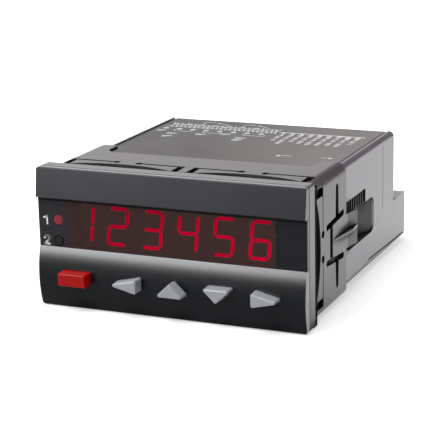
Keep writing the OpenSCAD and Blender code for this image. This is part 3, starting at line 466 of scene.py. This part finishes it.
def lit_strokes():
    """The lit segments with a finer stroke, each thinned about its own middle line."""
    weld = 0.001 * MM
    shape = bmesh.new()
    shape.from_mesh(nodes["lit_segments"].data)
    bmesh.ops.remove_doubles(shape, verts=shape.verts, dist=weld)
    done = set()
    for first in shape.verts:
        if first in done:
            continue
        segment = [first]
        done.add(first)
        for point in segment:
            for other in (edge.other_vert(point) for edge in point.link_edges):
                if other not in done:
                    done.add(other)
                    segment.append(other)
        thin(segment)
    for face in shape.faces:
        face.smooth = False
    mesh = bpy.data.meshes.new("lit_strokes")
    shape.to_mesh(mesh)
    shape.free()
    mesh.materials.append(FINISHES["segment_lit"])
    piece = show(bpy.data.objects.new("lit_strokes", mesh))
    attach(piece, "counter")
    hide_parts("lit_segments")


def thin(segment):
    """Narrows one segment across its length, along the digits' slant."""
    finer, lean = LIT_STROKE / SOLID_STROKE, math.tan(math.radians(DIGIT_SLANT))
    middle = sum((point.co for point in segment), Vector()) / len(segment)
    places = []
    for point in segment:
        off = point.co - middle
        places.append((off.x - lean * off.z, off.z))
    level = max(across for across, up in places) > max(up for across, up in places)
    for point, (across, up) in zip(segment, places):
        if level:
            up *= finer
        else:
            across *= finer
        point.co.x = middle.x + across + lean * up
        point.co.z = middle.z + up


# Print, drawn in millimetres in the part's own frame

def bar(ink, start, end, width):
    """One straight stroke of print, as a closed strip in the print's own plane."""
    start, end = Vector(start), Vector(end)
    along = (end - start).normalized() * width / 2
    across = Vector((-along.y, along.x))
    outline = [start - along - across, end + along - across, end + along + across, start - along + across]
    low = [ink.verts.new((p.x, p.y, -PRINT_T)) for p in outline]
    high = [ink.verts.new((p.x, p.y, PRINT_T)) for p in outline]
    ink.faces.new(low[::-1])
    ink.faces.new(high)
    for i in range(4):
        j = (i + 1) % 4
        ink.faces.new((low[i], low[j], high[j], high[i]))


def stroke(ink, points, width):
    """A bent stroke of print through some points."""
    for start, end in zip(points, points[1:]):
        bar(ink, start, end, width)


def ring(ink, centre, radius, width):
    """A printed circle."""
    steps = 16
    x, y = centre
    inside = radius - width
    turns = [2 * math.pi * i / steps for i in range(steps)]
    loops = []
    for r, z in ((inside, -PRINT_T), (radius, -PRINT_T), (radius, PRINT_T), (inside, PRINT_T)):
        loops.append([ink.verts.new((x + r * math.cos(t), y + r * math.sin(t), z)) for t in turns])
    for k in range(4):
        inner, outer = loops[k], loops[(k + 1) % 4]
        for i in range(steps):
            j = (i + 1) % steps
            ink.faces.new((inner[i], outer[i], outer[j], inner[j]))


def number(ink, figure, centre, height):
    """A printed number of a height, centred on a place."""
    height_of_size = 0.7
    words = bpy.data.curves.new("figure", "FONT")
    words.body = str(figure)
    words.align_x = "CENTER"
    words.align_y = "CENTER"
    words.size = height / height_of_size
    words.extrude = PRINT_T
    words.offset = NUMBER_WEIGHT
    words.resolution_u = 4
    shape = bpy.data.objects.new("figure", words)
    mesh = shape.to_mesh()
    mesh.transform(Matrix.Translation((*centre, 0)))
    ink.from_mesh(mesh)
    shape.to_mesh_clear()
    bpy.data.objects.remove(shape)
    bpy.data.curves.remove(words)


def printed(name, ink, plane):
    """Makes the print a piece of the counter, lying in a plane of the part."""
    weld = 0.0005
    mesh = bpy.data.meshes.new(name)
    bmesh.ops.remove_doubles(ink, verts=ink.verts, dist=weld)
    bmesh.ops.recalc_face_normals(ink, faces=ink.faces)
    ink.to_mesh(mesh)
    ink.free()
    mesh.transform(Matrix.Scale(MM, 4) @ plane)
    mesh.materials.append(FINISHES["plunger_white"])
    piece = show(bpy.data.objects.new(name, mesh))
    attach(piece, "counter")


def lamp_numbers():
    """The white numbers beside the two status lamps, on the window."""
    ink = bmesh.new()
    bold = 0.62
    one = [(-1.0, 0.75), (0.15, 1.3), (0.15, -1.35)]
    two = [(-0.85, 0.7), (-0.6, 1.2), (0.0, 1.4), (0.6, 1.2), (0.8, 0.65), (0.5, 0.0), (-0.8, -1.35),
           (0.9, -1.35)]
    for figure, lamp, aside, above in ((one, "status_led_1", -4.3, -0.2),
                                       (two, "status_led_2", -4.55, -0.05)):
        low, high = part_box(lamp)
        x = (low[0] + high[0]) / 2 / MM + aside
        z = (low[2] + high[2]) / 2 / MM + above
        stroke(ink, [(x + across, z + up) for across, up in figure], bold)
    upright = Matrix.Rotation(math.pi / 2, 4, "X")
    printed("lamp_numbers", ink, Matrix.Translation((0, WINDOW_FRONT, 0)) @ upright)


def terminal_plan():
    """The printed plan of the eight supply terminals."""
    ink = bmesh.new()
    fine, bold = 0.42, 0.8
    terminal_row(ink, fine, bold)
    relay_contacts(ink, fine)
    brackets(ink, fine)
    notes(ink, fine, bold)
    printed("terminal_plan", ink, Matrix.Translation((0, 0, LABEL_TOP)))


def terminal_row(ink, fine, bold):
    """A ring, a number and three crosses to each terminal."""
    terminals, crosses = 8, 3
    pitch, first, row = 5.52, -38.5, 73.0
    number_row, number_shift = row + 8.2, -0.3
    foot, head, lean = row + 2.6, row + 9.6, 0.9
    for i in range(terminals):
        x = first + i * pitch
        ring(ink, (x, row), radius=1.1, width=bold)
        number(ink, i + 1, (x + number_shift, number_row), height=2.8)
        for k in range(crosses):
            middle = x + k * pitch / crosses
            bar(ink, (middle - lean, foot), (middle + lean, head), fine)
            bar(ink, (middle + lean, foot), (middle - lean, head), fine)


def relay_contacts(ink, fine):
    """A fixed contact and a bent blade to each of the two relays."""
    contact = [(0.0, 82.6), (0.0, 87.0), (3.6, 87.4)]
    blade = [(4.8, 86.8), (11.0, 83.4), (13.2, 79.2)]
    for x in (-27.8, -11.3):
        for line in (contact, blade):
            stroke(ink, [(x + across, y) for across, y in line], fine)


def brackets(ink, fine):
    """The brackets that join terminals."""
    foot, end, bend = 69.4, 71.0, 0.4
    for left, right in ((-34.0, -27.0), (-22.2, -15.0), (-6.0, 2.3)):
        stroke(ink, [(left, end), (left + bend, foot), (right - bend, foot), (right, end)], fine)


def notes(ink, fine, bold):
    """A bold line with a finer one below it, at each place that has a note."""
    bold_line = [(-1.6, 0.0), (1.6, 0.0)]
    fine_line = [(-1.4, -1.5), (0.6, -1.5)]
    for x, y in ((-38.6, 69.4), (-32.5, 65.2), (-32.3, 60.4), (-21.4, 66.6), (-12.6, 69.4), (-4.8, 64.8),
                 (-4.8, 61.6)):
        for line, width in ((bold_line, bold), (fine_line, fine)):
            stroke(ink, [(x + across, y + up) for across, up in line], width)


def signal_plan():
    """The printed plan of the nine signal terminals: a ruled row of numbers, a mark and lines to each."""
    ink = bmesh.new()
    fine, middling, bold = 0.4, 0.55, 0.8
    pitch, first, rule, number_row = 3.6, 7.7, 78.2, 75.6
    mark = [(-0.5, 71.4), (0.7, 73.0)]
    top, step, left_out, half = 69.8, 1.2, 2, 0.6
    feet = (63.5, 58.5, 63.0, 61.0, 60.0, 60.0, 60.5, 60.0, 64.0)
    last = first + (len(feet) - 1) * pitch
    bar(ink, (first - pitch / 2, rule), (last + pitch / 2, rule), bold)
    for i, foot in enumerate(feet):
        x = first + i * pitch
        number(ink, i + 1, (x, number_row), height=3.0)
        stroke(ink, [(x + across, y) for across, y in mark], bold)
        for line in range(int((top - foot) / step)):
            if line != left_out:
                y = top - line * step
                bar(ink, (x - half, y), (x + half, y), middling)
    for dot, left, right, y in (((18.9, 41.8), 20.2, 23.6, 42.4), ((37.4, 43.2), 34.4, 36.2, 43.2)):
        ring(ink, dot, radius=0.8, width=0.6)
        bar(ink, (left, y), (right, y), fine)
    printed("signal_plan", ink, Matrix.Translation((0, 0, LABEL_TOP)))


dress_nodes()
lit_strokes()
lamp_numbers()
terminal_plan()
signal_plan()


# Studio, in metres

def seen_straight(tree, rays):
    """One for what the camera sees, also through clear pieces."""
    return math_node(tree, "MAXIMUM", rays["Is Camera Ray"], rays["Is Transmission Ray"])


def floor_glow(tree):
    """Makes the floor white to the camera, and bright behind the part in reflections."""
    panel_span, mirror_glow = (-0.01, 0.05), (0.05, 0.65)
    far_span, plain_glow = (0.12, 0.5), (0.45, 1.0)
    rays = tree.nodes.new("ShaderNodeLightPath").outputs
    place = place_on_part(tree)
    behind = map_range(tree, split_axes(tree, place)["Y"], panel_span, mirror_glow, smooth=True)
    mirrored = math_node(tree, "MULTIPLY", rays["Is Glossy Ray"], behind)
    away = tree.nodes.new("ShaderNodeVectorMath")
    away.operation = "LENGTH"
    feed(tree, place, away.inputs[0])
    plain = map_range(tree, away.outputs["Value"], far_span, plain_glow, smooth=True)
    return math_node(tree, "MULTIPLY_ADD", seen_straight(tree, rays), plain, mirrored)


def studio_floor():
    """Pale floor just below the part, which keeps its shadow."""
    pale = (0.80, 0.80, 0.80, 1)
    reach, level = 4.0, cad_box[0][2] - 0.1 * MM
    corners = [(-reach, -reach, level), (reach, -reach, level),
               (reach, reach, level), (-reach, reach, level)]
    mesh = bpy.data.meshes.new("floor")
    mesh.from_pydata(corners, [], [(0, 1, 2, 3)])
    made, tree, shader = new_material("pale_floor")
    grain_in(tree, shader, pale, roughness=0.9, mottle=0.01, scale=50.0, spread=0.02, depth=0)
    shader.inputs["Specular IOR Level"].default_value = 0.0
    glow = tree.nodes.new("ShaderNodeEmission")
    feed(tree, floor_glow(tree), glow.inputs["Strength"])
    both = tree.nodes.new("ShaderNodeAddShader")
    feed(tree, shader.outputs[0], both.inputs[0])
    feed(tree, glow.outputs[0], both.inputs[1])
    feed(tree, both.outputs[0], tree.nodes["Material Output"].inputs["Surface"])
    mesh.materials.append(made)
    show(bpy.data.objects.new("floor", mesh))


def studio_world():
    """A bright card low at the left behind the part, a dim room elsewhere, and plain white to the camera."""
    behind_span, left_span, low_span = (-0.1, 0.5), (-0.25, -0.05), (0.23, 0.38)
    room_light, card_light = 0.12, 1.6
    world = bpy.data.worlds.new("studio")
    world.use_nodes = True
    tree = world.node_tree
    way = split_axes(tree, tree.nodes.new("ShaderNodeTexCoord").outputs["Generated"])
    behind = map_range(tree, way["Y"], behind_span, smooth=True)
    left = map_range(tree, way["X"], left_span, (1.0, 0.0), smooth=True)
    low = map_range(tree, way["Z"], low_span, (1.0, 0.0), smooth=True)
    card = math_node(tree, "MULTIPLY", math_node(tree, "MULTIPLY", behind, left), low)
    light = map_range(tree, card, (0.0, 1.0), (room_light, card_light))
    seen = seen_straight(tree, tree.nodes.new("ShaderNodeLightPath").outputs)
    feed(tree, math_node(tree, "MAXIMUM", seen, light), tree.nodes["Background"].inputs["Strength"])
    tree.nodes["Background"].inputs["Color"].default_value = (1, 1, 1, 1)
    bpy.context.scene.world = world


def softbox(name, at, aim, size, radiance):
    """A soft light at a place, turned to a point, with the brightness of its face."""
    lamp = bpy.data.lights.new(name, "AREA")
    lamp.shape = "RECTANGLE"
    lamp.size, lamp.size_y = size
    lamp.energy = radiance * math.pi * size[0] * size[1]
    made = show(bpy.data.objects.new(name, lamp))
    back = (Vector(at) - Vector(aim)).normalized()
    made.matrix_world = Matrix.Translation(at) @ back.to_track_quat("Z", "Y").to_matrix().to_4x4()
    made.visible_camera = False
    return made


def studio_lights():
    """A light on the right side that gives no highlights, one above, and one that only glosses the front."""
    middle, right_side = (0.0, 0.0, 0.0), (0.045, 0.045, 0.0)
    side = softbox("side_softbox", at=(0.36, 0.86, 0.25), aim=right_side, size=(0.4, 0.4), radiance=9.0)
    side.visible_glossy = False
    softbox("top_softbox", at=(-0.15, -0.30, 0.85), aim=middle, size=(0.9, 0.7), radiance=5.4)
    front = softbox("front_softbox", at=(-0.45, -0.85, 0.32), aim=middle, size=(0.48, 0.30), radiance=54.0)
    front.visible_diffuse = False


def photo_camera():
    """The camera at the photograph's viewing angle."""
    turn, rise, roll = math.radians(23.367), math.radians(15.301), math.radians(-1.249)
    eye = Vector((207.54, -445.25, 140.59)) * MM
    sensor_mm, photo_px, focal_px = 36, 444, 1541.9
    back = Vector((math.sin(turn) * math.cos(rise), -math.cos(turn) * math.cos(rise), math.sin(rise)))
    right = Vector((math.cos(turn), math.sin(turn), 0))
    up = back.cross(right)
    across = math.cos(roll) * right + math.sin(roll) * up
    upward = -math.sin(roll) * right + math.cos(roll) * up
    lens = bpy.data.cameras.new("photo_camera")
    lens.sensor_width = sensor_mm
    lens.lens = sensor_mm * focal_px / photo_px
    lens.clip_start = 0.01
    made = show(bpy.data.objects.new("photo_camera", lens))
    turned = Matrix((across, upward, back)).transposed().to_4x4()
    made.matrix_world = Matrix.Translation(eye) @ turned
    bpy.context.scene.camera = made


studio_floor()
studio_world()
studio_lights()
photo_camera()
bpy.context.scene.view_settings.view_transform = "Standard"
